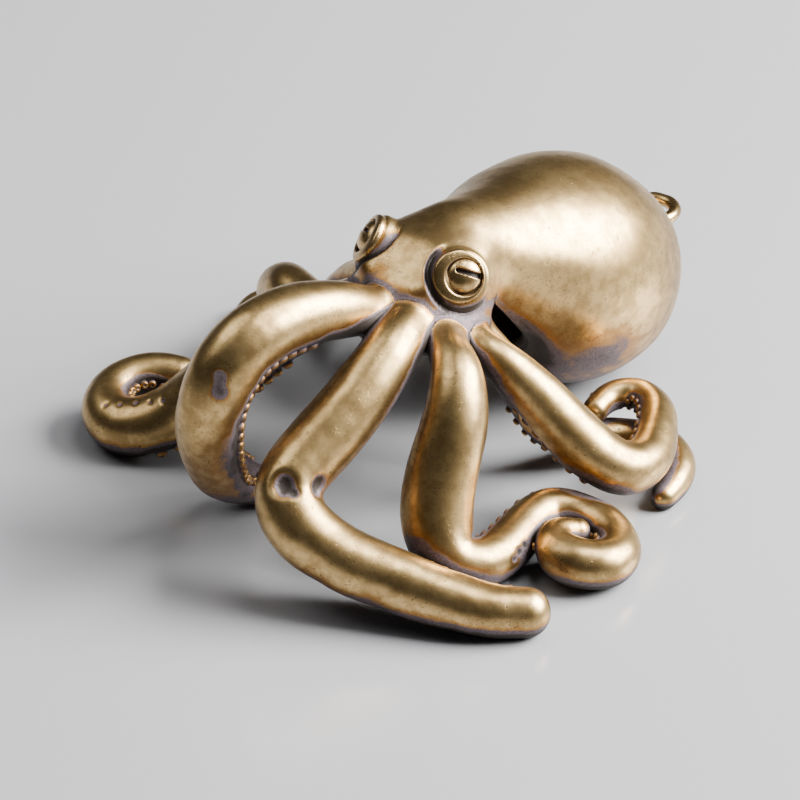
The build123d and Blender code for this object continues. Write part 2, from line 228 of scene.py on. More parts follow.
mantleUp = np.array([0.0, math.sin(droop), math.cos(droop)])
mantleStart = np.array(mantle["start"])


def mantleOutline(count):
    # smooth curve through the outline, fine enough to read radius against length
    share = np.array(mantle["outline"])
    turn = np.linspace(0, 1, len(share))
    fine = np.linspace(0, 1, count)
    tang = np.gradient(share, turn, axis=0)
    tang[-1] = (0.0, -3.2)
    i = np.minimum((fine * (len(share) - 1)).astype(int), len(share) - 2)
    h = turn[1]
    t = ((fine - turn[i]) / h)[:, None]
    curve = ((2 * t**3 - 3 * t**2 + 1) * share[i] + (t**3 - 2 * t**2 + t) * h * tang[i]
             + (3 * t**2 - 2 * t**3) * share[i + 1] + (t**3 - t**2) * h * tang[i + 1])
    return curve[:, 0] * mantle["length"], np.maximum(curve[:, 1], 0) * mantle["radius"]


outlinePlace, outlineRadius = mantleOutline(240)


def mantleForm(spots):
    # distance from the outline in the plane of the axis, by its nearest fine place
    off = spots - mantleStart
    along = off @ mantleWay
    out = off - along[:, None] * mantleWay
    wide = np.linalg.norm(out, axis=1)
    place, radius = outlinePlace[::3], outlineRadius[::3]
    gap = np.empty(len(spots))
    away = np.empty((len(spots), 3))
    slope = np.gradient(outlineRadius)[::3]
    rise = np.gradient(outlinePlace)[::3]
    face = unit(np.stack([-slope, rise], 1))
    for k in range(0, len(spots), 20000):
        s, w = along[k:k + 20000, None], wide[k:k + 20000, None]
        best = ((s - place)**2 + (w - radius)**2).argmin(1)
        gap[k:k + 20000] = (s[:, 0] - place[best]) * face[best, 0] + (w[:, 0] - radius[best]) * face[best, 1]
        outward = unit(out[k:k + 20000])
        away[k:k + 20000] = mantleWay * face[best, 0][:, None] + outward * face[best, 1][:, None]
    return gap, away


# Head: a core with a flat face and two drums for the eyes, and the hub that the arms grow from
head = {"middle": (0.0, 1.9, 18.2), "half": (5.1, 5.0, 3.5), "power": 2.6,
        "faceWay": (0.0, -0.55, 0.835), "faceFar": 3.5, "faceSoft": 3.5, "drumSoft": 9.0,
        "grooveOut": 0.22, "grooveWidth": 0.26, "grooveDepth": 0.55, "grooveTurn": (-0.45, 0.35), "grooveDeep": (-2.92, -1.42),
        "around": 280, "along": 170, "far": 9.0, "steps": 26, "pace": 0.8}
crown = {"middle": (0.0, 0.5, 15.5), "half": (6.0, 5.7, 2.8), "around": 120, "along": 60, "dirtAndShade": 0.25}
eye = {"spread": 4.7, "setback": 0.7, "height": 19.9, "gaze": (0.66, -0.52, 0.54),
       "drumRadius": 2.4, "drumHeight": 3.0, "drumRound": 0.5, "drumTop": 0.08, "drumAside": 0.12, "asideRise": 0.6}


def eyeFrame(side):
    # middle of the eye, the way it looks, and two ways across it
    gaze = unit(np.array([eye["gaze"][0] * side, eye["gaze"][1], eye["gaze"][2]]))
    across = unit(np.cross((0.0, 0.0, 1.0), gaze))
    return np.array([eye["spread"] * side, eye["setback"], eye["height"]]), gaze, across, np.cross(gaze, across)


def drumAxis(side):
    # a place on the drum's axis level with the eye, the way it looks, and the way to its outer side
    middle, gaze, across, rise = eyeFrame(side)
    aside = unit(across * side + eye["asideRise"] * rise)
    return middle - aside * eye["drumAside"], gaze, aside


def grooveShare(spots, side, width, deep):
    # 1 in the middle of the groove round the inner side of a drum, falling to 0 over the width
    middle, gaze, aside = drumAxis(side)
    off = spots - middle
    along = off @ gaze
    flat = off - along[..., None] * gaze
    wide = np.linalg.norm(flat, axis=-1)
    inner = ease(-(flat @ aside) / np.maximum(wide, 1e-6), *head["grooveTurn"]) * ease(along, *deep)
    return inner * np.exp(-((wide - eye["drumRadius"] - head["grooveOut"]) / width)**2)


def headForm(spots):
    # boxy core cut by the plane of the face and grooved round the inner side of each drum, joined with the drums
    core = ballForm(head["middle"], head["half"], head["power"])(spots)
    way = np.array(head["faceWay"])
    face = (spots - np.array(head["middle"])) @ way - head["faceFar"]
    gap, slope = blended([core, (face, np.broadcast_to(way, spots.shape))], head["faceSoft"])
    drums = []
    for side in (1, -1):
        middle, gaze, _ = drumAxis(side)
        seat = middle + gaze * (eye["drumTop"] - eye["drumHeight"] / 2)
        drums.append(drumForm(seat, gaze, eye["drumRadius"], eye["drumHeight"], eye["drumRound"])(spots))
        gap = gap + head["grooveDepth"] * grooveShare(spots, side, head["grooveWidth"], head["grooveDeep"])
    return blended([(gap, slope), *drums], -head["drumSoft"])


forms = {name: tubeForm(*armPath(name, 70)) for name in armRows}
forms["head"] = headForm
forms["crown"] = ballForm(crown["middle"], crown["half"])
forms["mantle"] = mantleForm

# Castings flow into each other near the head: the skin is pushed out to a rounded union of the forms
weld = {"softness": 1.8, "near": 8.5, "far": 12.5, "deep": -0.9, "shallow": -0.35, "rounds": 3, "steep": 0.35,
        "sink": 0.03, "sinkOver": 0.6, "seam": 0.42, "seamWidth": 0.55, "reach": 17.0}
rootForms = dict(forms)
for name in armRows:
    path, girth = armPath(name, 150)
    near = np.linalg.norm(path - np.array(crown["middle"]), axis=1) < weld["reach"]
    count = max(int(near.argmin()), 4) if not near.all() else len(path)
    rootForms[name] = tubeForm(path[:count], girth[:count])


def weldSkin(spots, own, share=1.0):
    # the skin goes to the rounded union, and just under it where another form is nearer; patina and painted shade lie
    # along the seam
    flat = spots.reshape(-1, 3).copy()
    seam = np.zeros(len(flat))
    around = np.linalg.norm(flat - np.array(crown["middle"]), axis=1)
    pick = around < weld["far"]
    part = flat[pick]
    fade = 1 - ease(around[pick], weld["near"], weld["far"])
    others = np.min([form(part)[0] for name, form in rootForms.items() if name != own], axis=0)
    strength = fade * np.broadcast_to(share, spots.shape[:2]).ravel()[pick]
    strength = strength * ease(others, weld["deep"], weld["shallow"])
    moved = part.copy()
    for _ in range(weld["rounds"]):
        field, slope = blended([form(moved) for form in rootForms.values()], -weld["softness"])
        steep = np.maximum((slope**2).sum(1), weld["steep"])
        moved -= (field / steep)[:, None] * slope
    others = np.min([form(moved)[0] for name, form in rootForms.items() if name != own], axis=0)
    ahead = rootForms[own](moved)[0] - others
    moved -= unit(slope) * (ease(ahead, 0.0, weld["sinkOver"]) * weld["sink"])[:, None]
    flat[pick] = part + (moved - part) * strength[:, None]
    # patina and painted shade along the line where the forms meet
    seam[pick] = weld["seam"] * np.exp(-(ahead / weld["seamWidth"])**2) * fade
    return flat.reshape(spots.shape), seam.reshape(spots.shape[:2])


def gridNormals(grid):
    # cross of the differences round and along the grid
    round_ = np.roll(grid, -1, 1) - np.roll(grid, 1, 1)
    return unit(np.cross(round_, np.gradient(grid, axis=0)))


shade = {"reaches": (0.5, 1.5, 3.6), "below": 0.34, "belowRange": (-0.35, 0.55)}


def creaseOf(grid, normals, step=4):
    # how much of the room over the skin is taken by other forms and the floor, on every few spots, spread back over
    # the grid: painted shade like ambient occlusion, which also sets where patina lies
    rows = np.unique(np.append(np.arange(0, grid.shape[0], step), grid.shape[0] - 1))
    spots = grid[rows][:, ::step]
    ways = normals[rows][:, ::step]
    taken = np.zeros(spots.shape[:2])
    for reach in shade["reaches"]:
        there = (spots + ways * reach).reshape(-1, 3)
        room = np.min([form(there)[0] for form in forms.values()] + [there[:, 2]], axis=0)
        taken += np.clip((reach - room.reshape(taken.shape)) / reach, 0, 1.4) / len(shade["reaches"])
    cols = np.arange(grid.shape[1])
    wide = np.concatenate([taken, taken[:, :1]], 1)
    marks = np.append(np.arange(0, grid.shape[1], step), grid.shape[1])
    spread = np.stack([np.interp(cols, marks, row) for row in wide])
    return np.stack([np.interp(np.arange(grid.shape[0]), rows, col) for col in spread.T], 1)


def patinaAndShadeOf(grid, step=4):
    # patina and painted shade in the hollows, and painted shade on all that looks down
    normals = gridNormals(grid)
    return creaseOf(grid, normals, step) + shade["below"] * ease(-normals[..., 2], *shade["belowRange"])


def gridMesh(name, grid, values):
    # quads between neighbouring rows of a grid that closes round, and a fan to the middle of each end row
    rows, cols = grid.shape[:2]
    spots = np.vstack([grid.reshape(-1, 3), grid[0].mean(0), grid[-1].mean(0)]) * millimetre + zero
    index = np.arange(rows * cols).reshape(rows, cols)
    ahead = np.roll(index, -1, 1)
    quads = np.stack([index[:-1], ahead[:-1], ahead[1:], index[1:]], -1).reshape(-1, 4)
    first = np.stack([np.full(cols, rows * cols), ahead[0], index[0]], 1)
    last = np.stack([np.full(cols, rows * cols + 1), index[-1], ahead[-1]], 1)
    return skinMesh(name, spots, quads, np.vstack([first, last]), {
        key: np.concatenate([v.ravel(), [v[0].mean(), v[-1].mean()]]) for key, v in values.items()})


def skinMesh(name, spots, quads, tris, values):
    # loops laid out as all quads and then all triangles
    mesh = bpy.data.meshes.new(name)
    mesh.vertices.add(len(spots))
    mesh.vertices.foreach_set("co", spots.astype(np.float32).ravel())
    mesh.loops.add(quads.size + tris.size)
    mesh.loops.foreach_set("vertex_index", np.concatenate([quads.ravel(), tris.ravel()]).astype(np.int32))
    mesh.polygons.add(len(quads) + len(tris))
    starts = np.concatenate([np.arange(len(quads)) * 4, quads.size + np.arange(len(tris)) * 3])
    mesh.polygons.foreach_set("loop_start", starts.astype(np.int32))
    for key, value in values.items():
        mesh.attributes.new(key, "FLOAT", "POINT").data.foreach_set("value", value.astype(np.float32))
    mesh.update(calc_edges=True)
    mesh.shade_smooth()
    return mesh


def addPiece(name, mesh, node, slotName):
    piece = bpy.data.objects.new(name, mesh)
    bpy.context.scene.collection.objects.link(piece)
    piece.data.materials.append(finishes[slotName])
    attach(piece, "root")
    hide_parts(node)
    return piece


class Flow:
    # a shader socket that takes part in Python sums
    def __init__(self, tree, link):
        self.tree, self.link = tree, link

    def node(self, kind, settings, inputs, out=0):
        made = self.tree.nodes.new(kind)
        for key, value in settings.items():
            if key == "stops":
                while len(made.color_ramp.elements) < len(value):
                    made.color_ramp.elements.new(0.5)
                for element, (place, colour) in zip(made.color_ramp.elements, value):
                    element.position, element.color = place, (*colour, 1)
            else:
                setattr(made, key, value)
        for key, value in inputs.items():
            if isinstance(value, Flow):
                self.tree.links.new(value.link, made.inputs[key])
            else:
                made.inputs[key].default_value = value
        return Flow(self.tree, made.outputs[out])

    def maths(self, operation, a, b=0.0, clamp=False):
        return self.node("ShaderNodeMath", {"operation": operation, "use_clamp": clamp}, {0: a, 1: b})

    def __add__(self, other):
        return self.maths("ADD", self, other)

    def __sub__(self, other):
        return self.maths("SUBTRACT", self, other)

    def __rsub__(self, other):
        return self.maths("SUBTRACT", other, self)

    def __mul__(self, other):
        return self.maths("MULTIPLY", self, other)

    __radd__, __rmul__ = __add__, __mul__

    def ramp(self, start, end):
        return self.node("ShaderNodeMapRange", {"interpolation_type": "SMOOTHSTEP", "clamp": True},
                         {"Value": self, "From Min": start, "From Max": end})

    def mix(self, a, b):
        colour = {key: value if isinstance(value, Flow) else (*value, 1) for key, value in ((6, a), (7, b))}
        return self.node("ShaderNodeMix", {"data_type": "RGBA"}, {0: self, **colour}, 2)


def brassFinish(name, look):
    # rubbed brass where it is open, then orange-brown, then grey-violet patina, then near black in the deepest hollows
    # as painted shade
    material = bpy.data.materials.new(name)
    material.use_nodes = True
    tree = material.node_tree
    shader = tree.nodes["Principled BSDF"]
    place = Flow(tree, tree.nodes.new("ShaderNodeTexCoord").outputs["Object"])
    # the crease attribute holds patina and dirt together with painted shade in hollows, grooves and on undersides
    crease = place.node("ShaderNodeAttribute", {"attribute_name": "crease"}, {}, 2)

    def noise(size, detail=3.0, rough=0.55):
        return place.node("ShaderNodeTexNoise", {}, {
            "Vector": place, "Scale": 1 / (size * millimetre), "Detail": detail, "Roughness": rough})

    cloud = noise(4.5)
    mottle = noise(1.1, 5.0, 0.65)
    grain = noise(0.20, 3.0, 0.6)
    specks = grain.ramp(0.575, 0.68) * noise(1.7, 2.0).ramp(0.40, 0.60)
    # patina, wear and painted shade from the crease value, broken up by noise
    wearAndShade = crease + (mottle - 0.5) * 0.40 + (cloud - 0.5) * 0.30
    warm = wearAndShade.ramp(*look["warmRange"]) * look["warmth"]
    grey = wearAndShade.ramp(*look["greyRange"])
    # near black in the deepest hollows: painted shade
    dark = wearAndShade.ramp(*look["darkRange"])
    colour = (mottle * 0.6 + cloud * 0.4).ramp(0.40, 0.60).mix(look["bright"], look["dull"])
    colour = warm.mix(colour, look["warm"])
    colour = grey.mix(colour, grain.ramp(0.35, 0.65).mix(look["grey"], look["ash"]))
    colour = dark.mix(colour, look["dark"])
    colour = (specks * look["specks"]).mix(colour, look["dark"])
    tree.links.new(colour.link, shader.inputs["Base Color"])
    rough = look["rough"] + mottle * 0.10 + grain * 0.08 + warm * 0.06 + grey * 0.16 + dark * 0.10 - 0.06
    tree.links.new(rough.link, shader.inputs["Roughness"])
    metal = 1 - grey * 0.50 - dark * 0.15
    tree.links.new(metal.link, shader.inputs["Metallic"])
    height = mottle * 0.16 + grain * (0.05 + grey * 0.30) - specks * 0.06
    bump = place.node("ShaderNodeBump", {}, {"Strength": look["relief"], "Distance": 0.00012, "Height": height})
    tree.links.new(bump.link, shader.inputs["Normal"])
    return material


# dark is painted shade in the deepest hollows, and also the colour of the pores (specks)
agedLook = {
    "bright": (0.57, 0.385, 0.16), "dull": (0.35, 0.228, 0.09), "warm": (0.31, 0.145, 0.035),
    "grey": (0.085, 0.062, 0.068), "ash": (0.150, 0.112, 0.118), "dark": (0.022, 0.015, 0.010),
    "warmth": 0.85, "specks": 0.75, "rough": 0.30, "relief": 0.8,
    "warmRange": (0.18, 0.46), "greyRange": (0.42, 0.62), "darkRange": (0.72, 1.05)}
darkLook = {**agedLook, "warmRange": (0.05, 0.30), "greyRange": (0.25, 0.55), "rough": 0.34}
brightLook = {**agedLook, "bright": (0.64, 0.43, 0.19), "warmth": 0.6, "rough": 0.25}
finishes = {
    "aged_brass": brassFinish("agedBrass", agedLook),
    "dark_brass": brassFinish("darkBrass", darkLook),
    "bright_brass": brassFinish("brightBrass", brightLook),
}
print("stage: finishes")


def armSkin(name):
    # circles carried along the path, flatter on the side of the suckers, with a half-round tip; grey on that side
    path, girth = armPath(name, arms["along"])
    ways, sides, ups = carriedFrames(path)
    turn = np.linspace(0, np.pi / 2, arms["tip"] + 1)[1:-1, None]
    path = np.vstack([path, path[-1] + ways[-1] * girth[-1] * np.sin(turn)])
    girth = np.concatenate([girth, girth[-1] * np.cos(turn[:, 0])])
    ways, sides, ups = (np.vstack([v, np.repeat(v[-1:], len(turn), 0)]) for v in (ways, sides, ups))
    angle = np.linspace(0, 2 * np.pi, arms["around"], endpoint=False)[:, None]
    out = np.cos(angle) * sides[:, None] + np.sin(angle) * ups[:, None]
    inward = np.array([0.0, crown["middle"][1], 0.0]) - path
    inward = unit(inward - ways * (inward * ways).sum(1, keepdims=True))
    facing = (out * inward[:, None]).sum(2)
    radius = girth[:, None] * (1 - arms["flat"] * ease(facing, arms["flatFrom"], 1.0))
    grid = path[:, None] + out * radius[..., None]
    lump = arms["lump"] * wobble(grid, arms["lumpWave"], 3) * ease(girth, *arms["lumpGirths"])[:, None]
    radius += lump + arms["ripple"] * wobble(grid, arms["rippleWave"], 5)
    grid = path[:, None] + out * radius[..., None]
    grid, seam = weldSkin(grid, name)
    grid[..., 2] = np.maximum(grid[..., 2], 0)
    away = np.linalg.norm(path - np.array(crown["middle"]), axis=1)[:, None]
    edge = arms["greyFrom"] - arms["greyAtRoot"] * (1 - ease(away, *arms["greyReach"]))
    inner = facing - edge + arms["greySway"] * wobble(grid, arms["greyWave"], 8)
    return grid, seam + arms["grey"] * ease(inner, -arms["greyEdge"], arms["greyEdge"])


# Casting pits: place, size and depth of each
dents = {
    "dirtAndShade": 0.75,
    "left_arm_1": [((3.8, -20.5, 10.8), 0.95, 0.60), ((4.7, -20.2, 10.1), 0.40, 0.20),
                   ((5.4, -17.9, 9.9), 0.75, 0.42)],
    "left_arm_2": [((16.9, -7.2, 3.0), 0.34, 0.18), ((17.0, -8.0, 2.7), 0.28, 0.15), ((16.8, -6.4, 3.2), 0.28, 0.15)],
    "right_arm_1": [((-2.7, -20.3, 18.0), 0.70, 0.06), ((-2.5, -20.6, 16.8), 0.80, 0.06)],
    "right_arm_2": [((-21.1, -13.6, 4.4), 0.24, 0.12), ((-20.0, -13.1, 4.7), 0.24, 0.12),
                    ((-18.9, -12.4, 5.0), 0.28, 0.14), ((-17.6, -12.1, 5.4), 0.24, 0.12),
                    ((-16.5, -11.8, 5.9), 0.28, 0.12)],
}


def dented(grid, name):
    # each pit is a smooth bump of its depth pushed in round its place, dark at the bottom with dirt and painted shade
    normals = gridNormals(grid)
    dirtAndShade = np.zeros(grid.shape[:2])
    for place, size, depth in dents.get(name, ()):
        near = np.exp(-(((grid - np.array(place))**2).sum(-1) / size**2)**1.5)
        grid = grid - normals * (depth * near)[..., None]
        dirtAndShade += dents["dirtAndShade"] * near
    return grid, dirtAndShade


def suckerSkin(name):
    # two rows of small domes with a dimple, on the flat side of the arm
    path, girth = armPath(name, 400)
    ways = unit(np.gradient(path, axis=0))
    length = np.linalg.norm(np.diff(path, axis=0), axis=1).sum()
    first, last = suckers["stretch"]
    pick = np.linspace(first, last, int(length * (last - first) / suckers["pitch"]))
    at = (pick * (len(path) - 1)).astype(int)
    place, way, size = path[at], ways[at], girth[at]
    inward = np.array([0.0, crown["middle"][1], 0.0]) - place
    inward = unit(inward - way * (inward * way).sum(1, keepdims=True))
    spread = math.radians(suckers["spread"])
    out = np.concatenate([inward * math.cos(spread) + np.cross(way, inward) * math.sin(s * spread) for s in (-1, 1)])
    place, way, size = (np.concatenate([v, v]) for v in (place, way, size))
    seat = place + out * (size * suckers["seat"])[:, None]
    bead = size * suckers["share"]
    others = [form for key, form in forms.items() if key != name]
    clear = np.min([form(seat)[0] for form in others], axis=0) > bead * suckers["room"]
    clear &= (forms[name](seat)[0] > -suckers["sunk"]) & (seat[:, 2] > bead)
    seat, out, way, bead = seat[clear], out[clear], way[clear], bead[clear]
    side = np.cross(out, way)
    ring = np.linspace(0, 2 * np.pi, suckers["around"], endpoint=False)
    profile = np.array(suckers["profile"])
    x = (profile[:, :1] * np.cos(ring)).ravel()
    y = (profile[:, :1] * np.sin(ring)).ravel()
    z = np.repeat(profile[:, 1], len(ring))
    x, y, z = (np.append(v, extra) for v, extra in ((x, 0), (y, 0), (z, suckers["dimple"])))
    local = x[:, None, None] * side + y[:, None, None] * way + z[:, None, None] * out
    spots = (seat + bead[:, None] * local).transpose(1, 0, 2)
    n, m = len(profile), len(ring)
    index = np.arange(n * m).reshape(n, m)
    ahead = np.roll(index, -1, 1)
    quads = np.stack([index[:-1], ahead[:-1], ahead[1:], index[1:]], -1).reshape(-1, 4)
    tris = np.stack([np.full(m, n * m), index[-1], ahead[-1]], 1)
    base = (np.arange(len(seat)) * (n * m + 1))[:, None, None]
    crease = np.tile(np.append(np.repeat(suckers["shade"], m), suckers["dimpleShade"]), (len(seat), 1))
    spots = spots.reshape(-1, 3) * millimetre + zero
    return spots, (quads + base).reshape(-1, 4), (tris + base).reshape(-1, 3), crease.ravel()


suckers = {"pitch": 1.15, "stretch": (0.26, 0.97), "spread": 36.0, "share": 0.19, "seat": 0.93,
           "room": 0.8, "sunk": 0.4, "around": 10, "dimple": 0.62, "dimpleShade": 0.7,
           "profile": [(1.05, -0.35), (1.0, 0.25), (0.80, 0.68), (0.48, 0.82), (0.26, 0.70)],
           "shade": (0.8, 0.5, 0.25, 0.2, 0.5)}

for name in armRows:
    grid, dirtAndShade = armSkin(name)
    grid, pits = dented(grid, name)
    values = {"crease": patinaAndShadeOf(grid) + dirtAndShade + pits}
    addPiece(name + "_skin", gridMesh(name + "_skin", grid, values), name, "aged_brass")
    spots, quads, tris, crease = suckerSkin(name)
    mesh = skinMesh(name + "_beads", spots, quads, tris, {"crease": crease})
    addPiece(name + "_beads", mesh, name + "_suckers", "dark_brass")
print("stage: arms and suckers")


def mantleSkin():
    # dish under the neck, rolled lip, then the outline: one profile for each angle round the axis
    angle = np.linspace(0, 2 * np.pi, mantle["around"], endpoint=False)
    out = np.cos(angle)[:, None] * mantleUp + np.sin(angle)[:, None] * np.array([1.0, 0.0, 0.0])
    under = np.degrees(np.arccos(np.clip(np.cos(angle), -1, 1)))
    lip = np.interp(under, mantle["lipAngles"], mantle["lipPlaces"])
    more = mantle["lipSmooth"]
    kernel = np.hanning(2 * more + 1)
    lip = np.convolve(np.concatenate([lip[-more:], lip, lip[:more]]), kernel / kernel.sum(), "valid")
    roll = mantle["lipRoll"]
    tucked = mantle["lipTuck"] * ease(under, *mantle["tuckAngles"])
    rim = np.interp(lip + roll, outlinePlace, outlineRadius) * (1 - tucked)
    dish = np.linspace(0.02, 1, mantle["dishRows"])[:, None]
    deep = mantle["hollowDepth"]
    inner = (deep + (lip + roll - deep) * dish**mantle["dishPower"], (rim - 2 * roll) * dish)
    bend = np.radians(np.linspace(*mantle["rollTurn"], mantle["rollRows"]))[:, None]
    rolled = (lip + roll - roll * np.cos(bend), rim - roll + roll * np.sin(bend))
    go = np.linspace(0, 1, mantle["along"])[1:, None]
    away = lip + roll + (mantle["length"] - lip - roll) * np.sin(go * np.pi / 2)**mantle["spacing"]
    past = away - lip - roll
    flare = mantle["lipFlare"] * np.exp(-(past / mantle["flareReach"])**2) * ease(under, *mantle["flareAngles"])
    tuck = 1 - tucked * np.exp(-(past / mantle["tuckReach"])**2)
    outer = (away, np.interp(away, outlinePlace, outlineRadius) * tuck + flare)
    along, wide = (np.vstack(parts) for parts in zip(inner, rolled, outer))
    grid = mantleStart + along[..., None] * mantleWay + wide[..., None] * out
    grid += mantle["lump"] * wobble(grid, mantle["lumpWave"], 11)[..., None] * out
    share = np.concatenate([np.zeros(len(dish)), np.linspace(0, 1, len(bend)), np.ones(len(go))])[:, None]
    grid, seam = weldSkin(grid, "mantle", share)
    grid[..., 2] = np.maximum(grid[..., 2], 0)
    return grid, seam


grid, seam = mantleSkin()
mesh = gridMesh("mantle_skin", grid, {"crease": patinaAndShadeOf(grid) + mantle["seam"] * seam})
addPiece("mantle_skin", mesh, "mantle", "aged_brass")
print("stage: mantle")


def ballGrid(middle, half, along, around):
    # ellipsoid rows from the bottom pole to the top
    rise = np.linspace(-np.pi / 2, np.pi / 2, along + 2)[1:-1, None]
    turn = np.linspace(0, 2 * np.pi, around, endpoint=False)
    ways = np.stack([np.cos(rise) * np.cos(turn), np.cos(rise) * np.sin(turn), np.sin(rise) + 0 * turn], -1)
    return np.array(middle) + ways * np.array(half)


def headSkin():
    # from far out along each ray, stepping in by the distance left, to the head's form
    ways = ballGrid((0.0, 0.0, 0.0), (1.0, 1.0, 1.0), head["along"], head["around"]).reshape(-1, 3)
    middle = np.array(head["middle"])
    far = np.full(len(ways), head["far"])
    for _ in range(head["steps"]):
        far -= head["pace"] * headForm(middle + ways * far[:, None])[0]
    grid = (middle + ways * far[:, None]).reshape(head["along"], head["around"], 3)
    return weldSkin(grid, "head")


def faceStainAndShade(grid):
    # orange-brown stain band across the lower face, grey patina under it, and painted shade dark in the grooves beside
    # the drums
    front = ease(-grid[..., 1], *stainAndShade["front"])
    height = grid[..., 2] + stainAndShade["sway"] * wobble(grid, stainAndShade["swayWave"], 17)
    band = np.exp(-((height - stainAndShade["height"]) / stainAndShade["width"])**2)
    grey = ease(-height, -stainAndShade["greyFrom"], -stainAndShade["greyTo"])
    dirtAndShade = front * (stainAndShade["band"] * band + stainAndShade["grey"] * grey) + stainAndShade["all"]
    # painted shade in the grooves beside the drums
    for side in (1, -1):
        dirtAndShade += stainAndShade["groove"] * grooveShare(grid, side, stainAndShade["grooveWidth"], stainAndShade["grooveDeep"])
    return dirtAndShade


stainAndShade = {"front": (-4.5, -1.5), "sway": 0.3, "swayWave": 2.4, "height": 19.0, "width": 0.9, "band": 0.30,
         "grey": 0.40, "greyFrom": 18.3, "greyTo": 17.3, "all": 0.03, "groove": 0.5, "grooveWidth": 0.42,
         "grooveDeep": (-3.4, -2.0), "seamFront": (-4.0, -2.0)}
grid, seam = headSkin()
# stain and patina of the face, with patina and painted shade along the weld seam on the front
dirtAndShade = faceStainAndShade(grid) + seam * ease(-grid[..., 1], *stainAndShade["seamFront"])
addPiece("head_skin", gridMesh("head_skin", grid, {"crease": patinaAndShadeOf(grid, 2) + dirtAndShade}), "head", "aged_brass")
grid, seam = weldSkin(ballGrid(crown["middle"], crown["half"], crown["along"], crown["around"]), "crown")
# the crown is darker all over by a fixed amount: dirt and painted shade under the head
mesh = gridMesh("crown_skin", grid, {"crease": patinaAndShadeOf(grid) + crown["dirtAndShade"] + seam})
addPiece("crown_skin", mesh, "arm_crown", "dark_brass")
print("stage: head and crown")


def eyeBall(side):
    # low dome over a disc, split by a slot that runs out at its outer edge
    middle, gaze, across, rise = eyeFrame(side)
    part = np.linspace(1, 0, ball["along"])[:-1, None]
    turn = np.linspace(0, 2 * np.pi, ball["around"], endpoint=False)
    x, y = ball["size"] * part * np.cos(turn), ball["size"] * part * np.sin(turn)
    (ax, ay), (bx, by) = ball["slot"]
    t = np.clip(((x - ax) * (bx - ax) + (y - ay) * (by - ay)) / ((bx - ax)**2 + (by - ay)**2), 0, 1)
    slot = 1 - ease(np.hypot(x - ax - (bx - ax) * t, y - ay - (by - ay) * t), *ball["slotEdge"])
    height = ball["height"] * np.sqrt(np.maximum(1 - (part * 0.985)**2, 0)) - ball["slotDepth"] * slot
    skirt = np.linspace(ball["skirt"], 0, 4)[:-1, None] + 0 * turn
    x, y = (np.vstack([np.repeat(v[:1], 3, 0), v]) for v in (x, y))
    height = np.vstack([height[:1] - skirt, height])
    # painted shade: full on the skirt in the gap under the dome, in the slot, and a little towards the rim
    dirtAndShade = np.vstack([np.full((5, len(turn)), 1.0), slot[2:] + 0.25 * part[2:]**3])
    aside, up = ball["aside"]
    grid = middle + gaze * ball["seat"] + (x + aside)[..., None] * across * side + (y + up)[..., None] * rise
    grid = grid + height[..., None] * gaze
    return (grid, dirtAndShade) if side > 0 else (grid[:, ::-1], dirtAndShade[:, ::-1])


def eyeRing(side):
    # ring with a boxy section, broad towards the face and thin outside, so that it reads as a lid
    middle, gaze, across, rise = eyeFrame(side)
    turn = np.linspace(0, 2 * np.pi, ring["around"], endpoint=False)[:, None]
    section = np.linspace(0, 2 * np.pi, ring["section"], endpoint=False)
    wire = ring["wire"] + ring["lid"] * np.cos(turn - math.radians(ring["lidAt"]))
    boxy = np.stack([np.cos(section), np.sin(section)])
    boxy = np.sign(boxy) * np.abs(boxy)**ring["boxy"]
    wide = ring["inner"] + wire + wire * boxy[0]
    high = ring["thick"] * boxy[1] + ring["tilt"] * (wide - ring["inner"] - 2 * wire)
    grid = middle + (high + ring["seat"])[..., None] * gaze + (wide * np.cos(turn))[..., None] * across * side
    grid = grid + (wide * np.sin(turn))[..., None] * rise
    # painted shade on the inner and lower side of the ring's section, towards the ball and the drum
    dirtAndShade = 1.1 * ease(-np.cos(section) - 0.9 * np.sin(section), 0.1, 0.9) + 0 * turn
    return (grid, dirtAndShade) if side > 0 else (grid[:, ::-1], dirtAndShade[:, ::-1])


ball = {"size": 1.44, "height": 0.85, "seat": 0.14, "along": 44, "around": 96, "skirt": 0.9, "aside": (0.06, 0.10),
        "slot": ((-0.50, 0.50), (1.40, -0.28)), "slotEdge": (0.14, 0.28), "slotDepth": 0.45}
ring = {"inner": 1.50, "wire": 0.31, "lid": 0.20, "lidAt": 168.0, "thick": 0.30, "boxy": 0.6,
        "tilt": -0.18, "seat": 0.23, "around": 96, "section": 28}


def ringMesh(name, grid, values):
    # quads between neighbouring rows of a grid that closes both ways
    rows, cols = grid.shape[:2]
    index = np.arange(rows * cols).reshape(rows, cols)
    ahead, below = np.roll(index, -1, 1), np.roll(index, -1, 0)
    quads = np.stack([index, below, np.roll(below, -1, 1), ahead], -1).reshape(-1, 4)
    return skinMesh(name, grid.reshape(-1, 3) * millimetre + zero, quads, np.zeros((0, 3), int),
                    {key: v.ravel() for key, v in values.items()})


for sideName, side in (("left", 1), ("right", -1)):
    grid, dirtAndShade = eyeBall(side)
    mesh = gridMesh(sideName + "_eye_ball", grid, {"crease": dirtAndShade})
    addPiece(sideName + "_eye_ball", mesh, sideName + "_eye", "bright_brass")
    grid, dirtAndShade = eyeRing(side)
    mesh = ringMesh(sideName + "_eye_ring", grid, {"crease": dirtAndShade})
    addPiece(sideName + "_eye_ring", mesh, sideName + "_eye_rim", "bright_brass")

loop = {"radius": 1.9, "strand": 0.56, "standOff": 1.8, "height": 9.6, "flare": 0.5, "around": 96,
        "section": 28, "lump": 0.02, "lumpWave": 1.5, "dirtAndShade": 0.5, "dirtAndShadeRange": (-31.8, -30.8)}


